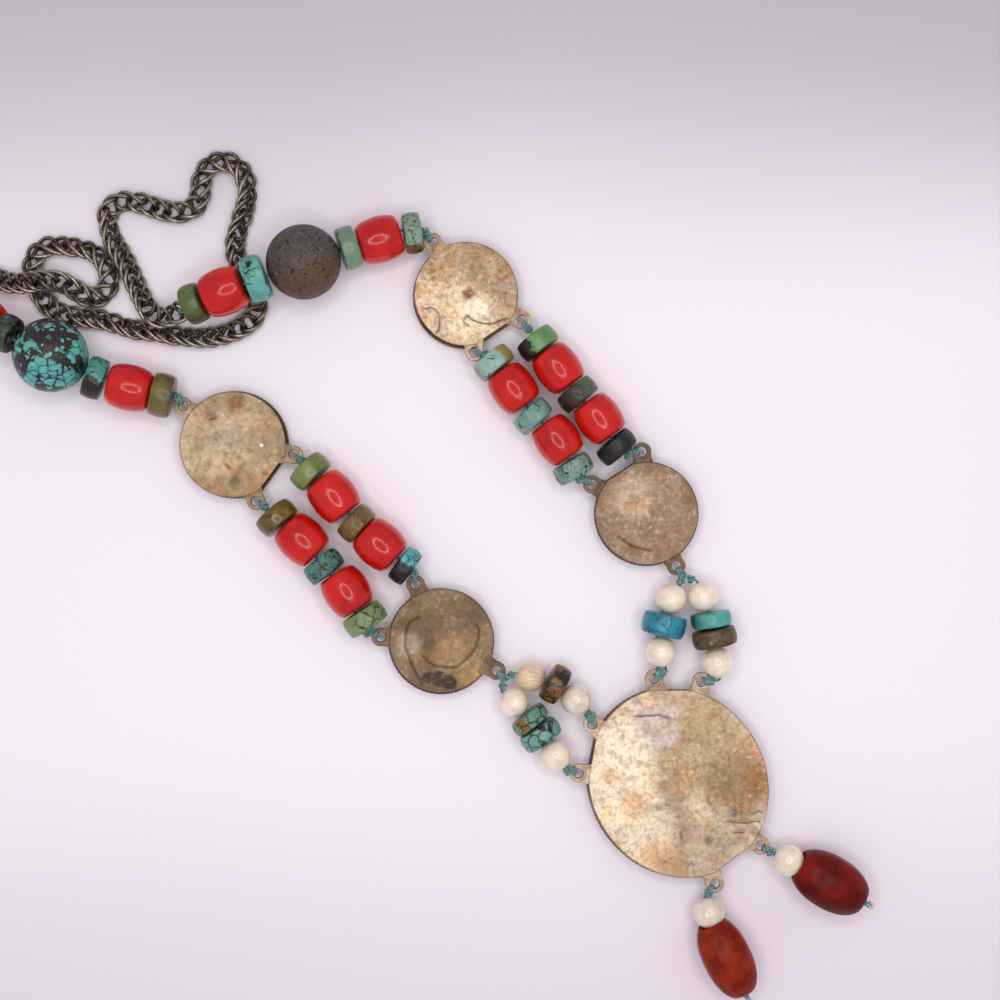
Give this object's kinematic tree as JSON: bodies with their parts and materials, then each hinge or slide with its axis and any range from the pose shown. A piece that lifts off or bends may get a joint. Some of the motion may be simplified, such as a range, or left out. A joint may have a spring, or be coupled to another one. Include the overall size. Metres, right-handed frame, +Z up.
{
  "type": "beaded necklace",
  "caption": "Long necklace of oval and round silver medallions, red coral barrels, turquoise discs and cream beads on thread, with faceted drops and a silver neck chain, lying flat",
  "frame": {"origin": "middle of the pendant's flat front face, which lies on the surface", "axes": "+X to the right and +Y towards the neck chain as the necklace lies, +Z up from the surface"},
  "size_m": [0.2629, 0.2218, 0.0196],
  "materials": {
    "silver": "old cast silver, grainy, worn bright on the edges",
    "chain_silver": "blackened silver wire, bright where it rubs",
    "coral": "polished red coral",
    "green_turquoise": "polished green turquoise with dark matrix",
    "blue_turquoise": "polished blue turquoise with fine dark veins",
    "dark_turquoise": "near-black stone with brown and green patches",
    "ivory_bead": "polished cream beads, with turquoise discs among them",
    "carnelian": "faceted translucent carnelian",
    "thread": "waxed teal thread"
  },
  "bodies": {
    "root": {"bottom_drop_drop_2": "carnelian", "bottom_drop_small_bead_1": "ivory_bead", "bottom_drop_thread": "thread", "lower_left_inner_beads": "ivory_bead", "lower_left_medallion": "silver", "lower_left_outer_beads": "ivory_bead", "lower_left_thread": "thread", "lower_right_inner_beads": "ivory_bead", "lower_right_medallion": "silver", "lower_right_outer_beads": "ivory_bead", "lower_right_thread": "thread", "neck_chain": "chain_silver", "pendant_medallion": "silver", "right_drop_drop_2": "carnelian", "right_drop_small_bead_1": "ivory_bead", "right_drop_thread": "thread", "side_left_inner_coral_2": "coral", "side_left_inner_coral_4": "coral", "side_left_inner_disc_1": "green_turquoise", "side_left_inner_disc_3": "blue_turquoise", "side_left_inner_disc_5": "green_turquoise", "side_left_inner_thread": "thread", "side_left_outer_coral_2": "coral", "side_left_outer_coral_4": "coral", "side_left_outer_disc_1": "blue_turquoise", "side_left_outer_disc_3": "green_turquoise", "side_left_outer_disc_5": "green_turquoise", "side_left_outer_thread": "thread", "side_right_inner_coral_2": "coral", "side_right_inner_coral_4": "coral", "side_right_inner_disc_1": "blue_turquoise", "side_right_inner_disc_3": "blue_turquoise", "side_right_inner_disc_5": "blue_turquoise", "side_right_inner_thread": "thread", "side_right_outer_coral_2": "coral", "side_right_outer_coral_4": "coral", "side_right_outer_disc_1": "dark_turquoise", "side_right_outer_disc_3": "green_turquoise", "side_right_outer_disc_5": "green_turquoise", "side_right_outer_thread": "thread", "upper_left_big_bead_4": "blue_turquoise", "upper_left_coral_2": "coral", "upper_left_coral_6": "coral", "upper_left_disc_1": "green_turquoise", "upper_left_disc_3": "blue_turquoise", "upper_left_disc_5": "dark_turquoise", "upper_left_disc_7": "green_turquoise", "upper_left_medallion": "silver", "upper_left_thread": "thread", "upper_right_big_bead_4": "dark_turquoise", "upper_right_coral_2": "coral", "upper_right_coral_6": "coral", "upper_right_disc_1": "blue_turquoise", "upper_right_disc_3": "green_turquoise", "upper_right_disc_5": "blue_turquoise", "upper_right_disc_7": "green_turquoise", "upper_right_medallion": "silver", "upper_right_thread": "thread"}
  },
  "joints": []
}
